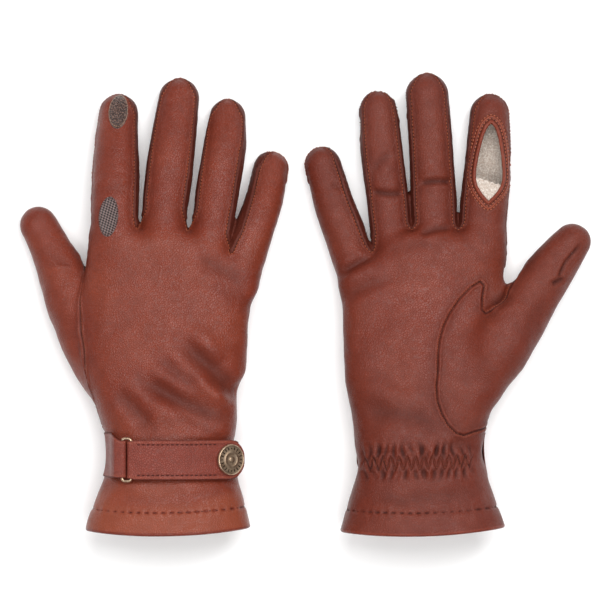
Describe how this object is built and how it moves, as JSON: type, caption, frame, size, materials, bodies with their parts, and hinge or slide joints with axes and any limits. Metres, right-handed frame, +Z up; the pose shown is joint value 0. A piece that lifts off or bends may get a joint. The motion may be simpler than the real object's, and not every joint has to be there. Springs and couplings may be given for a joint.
{
  "type": "leather shooting gloves",
  "caption": "Lined leather gloves with an index fingertip that folds back through a palm-side slit, and a wrist strap closed by a press stud.",
  "frame": {"origin": "centre of the pair's bounding box, on the table they lie on", "axes": "+Z up, +Y towards the fingertips, +X from the palm-down glove to the palm-up glove"},
  "size_m": [0.3122, 0.2532, 0.0543],
  "materials": {
    "leather": "satin",
    "leather_edge": "satin",
    "strap_leather": "satin",
    "fleece": "brushed fleece",
    "elastic": "woven",
    "hook_tape": "woven",
    "loop_tape": "brushed",
    "brass": "antique satin"
  },
  "bodies": {
    "palm_down_glove": {"palm_down_hand_shell": "leather", "palm_down_index_stall": "leather", "palm_down_middle_stall": "leather", "palm_down_ring_stall": "leather", "palm_down_little_stall": "leather", "palm_down_thumb": "leather", "palm_down_index_middle_fourchette": "leather_edge", "palm_down_middle_ring_fourchette": "leather_edge", "palm_down_ring_little_fourchette": "leather_edge", "palm_down_slit_binding": "leather_edge", "palm_down_lining": "fleece", "palm_down_wrist_elastic": "elastic", "palm_down_hem_facing": "leather_edge", "palm_down_hook_patch": "hook_tape", "palm_down_ring_tab": "strap_leather", "palm_down_strap_anchor": "strap_leather", "palm_down_snap_stud": "brass", "palm_down_snap_eyelet": "brass"},
    "palm_down_fingertip": {"palm_down_index_hood": "leather", "palm_down_hood_lining": "fleece", "palm_down_hood_binding": "leather_edge", "palm_down_hood_fourchette": "leather_edge", "palm_down_loop_patch": "loop_tape"},
    "palm_down_ring": {"palm_down_strap_ring": "brass"},
    "palm_down_strap": {"palm_down_strap_flap": "strap_leather", "palm_down_snap_cap": "brass", "palm_down_snap_socket": "brass"},
    "palm_up_glove": {"palm_up_hand_shell": "leather", "palm_up_index_stall": "leather", "palm_up_middle_stall": "leather", "palm_up_ring_stall": "leather", "palm_up_little_stall": "leather", "palm_up_thumb": "leather", "palm_up_index_middle_fourchette": "leather_edge", "palm_up_middle_ring_fourchette": "leather_edge", "palm_up_ring_little_fourchette": "leather_edge", "palm_up_slit_binding": "leather_edge", "palm_up_lining": "fleece", "palm_up_wrist_elastic": "elastic", "palm_up_hem_facing": "leather_edge", "palm_up_hook_patch": "hook_tape", "palm_up_ring_tab": "strap_leather", "palm_up_strap_anchor": "strap_leather", "palm_up_snap_stud": "brass", "palm_up_snap_eyelet": "brass"},
    "palm_up_fingertip": {"palm_up_index_hood": "leather", "palm_up_hood_lining": "fleece", "palm_up_hood_binding": "leather_edge", "palm_up_hood_fourchette": "leather_edge", "palm_up_loop_patch": "loop_tape"},
    "palm_up_ring": {"palm_up_strap_ring": "brass"},
    "palm_up_strap": {"palm_up_strap_flap": "strap_leather", "palm_up_snap_cap": "brass", "palm_up_snap_socket": "brass"}
  },
  "joints": [
    {"name": "palm_down_fingertip_fold", "type": "hinge", "parent": "palm_down_glove", "child": "palm_down_fingertip", "pos_m": [-0.10599, 0.07726, 0.0323], "axis": [0.9966, -0.0828, 0], "range_deg": [0, 177]},
    {"name": "palm_down_ring_turn", "type": "hinge", "parent": "palm_down_glove", "child": "palm_down_ring", "pos_m": [-0.10049, -0.08394, 0.04838], "axis": [0, -1, 0], "range_deg": [0, 55]},
    {"name": "palm_down_strap_open", "type": "hinge", "parent": "palm_down_ring", "child": "palm_down_strap", "pos_m": [-0.09559, -0.08394, 0.0499], "axis": [0, -1, 0], "range_deg": [0, 115]},
    {"name": "palm_up_lift", "type": "slide", "parent": "palm_down_glove", "child": "palm_up_glove", "axis": [0, 0, 1], "range_m": [0, 0.2]},
    {"name": "palm_up_fingertip_fold", "type": "hinge", "parent": "palm_up_glove", "child": "palm_up_fingertip", "pos_m": [0.10091, 0.07746, 0.00185], "axis": [-1, 0.0088, 0], "range_deg": [0, 175]},
    {"name": "palm_up_ring_turn", "type": "hinge", "parent": "palm_up_glove", "child": "palm_up_ring", "pos_m": [0.08961, -0.08394, 0.00594], "axis": [0, -1, 0], "range_deg": [0, 55]},
    {"name": "palm_up_strap_open", "type": "hinge", "parent": "palm_up_ring", "child": "palm_up_strap", "pos_m": [0.08471, -0.08394, 0.00441], "axis": [0, -1, 0], "range_deg": [0, 115]}
  ]
}
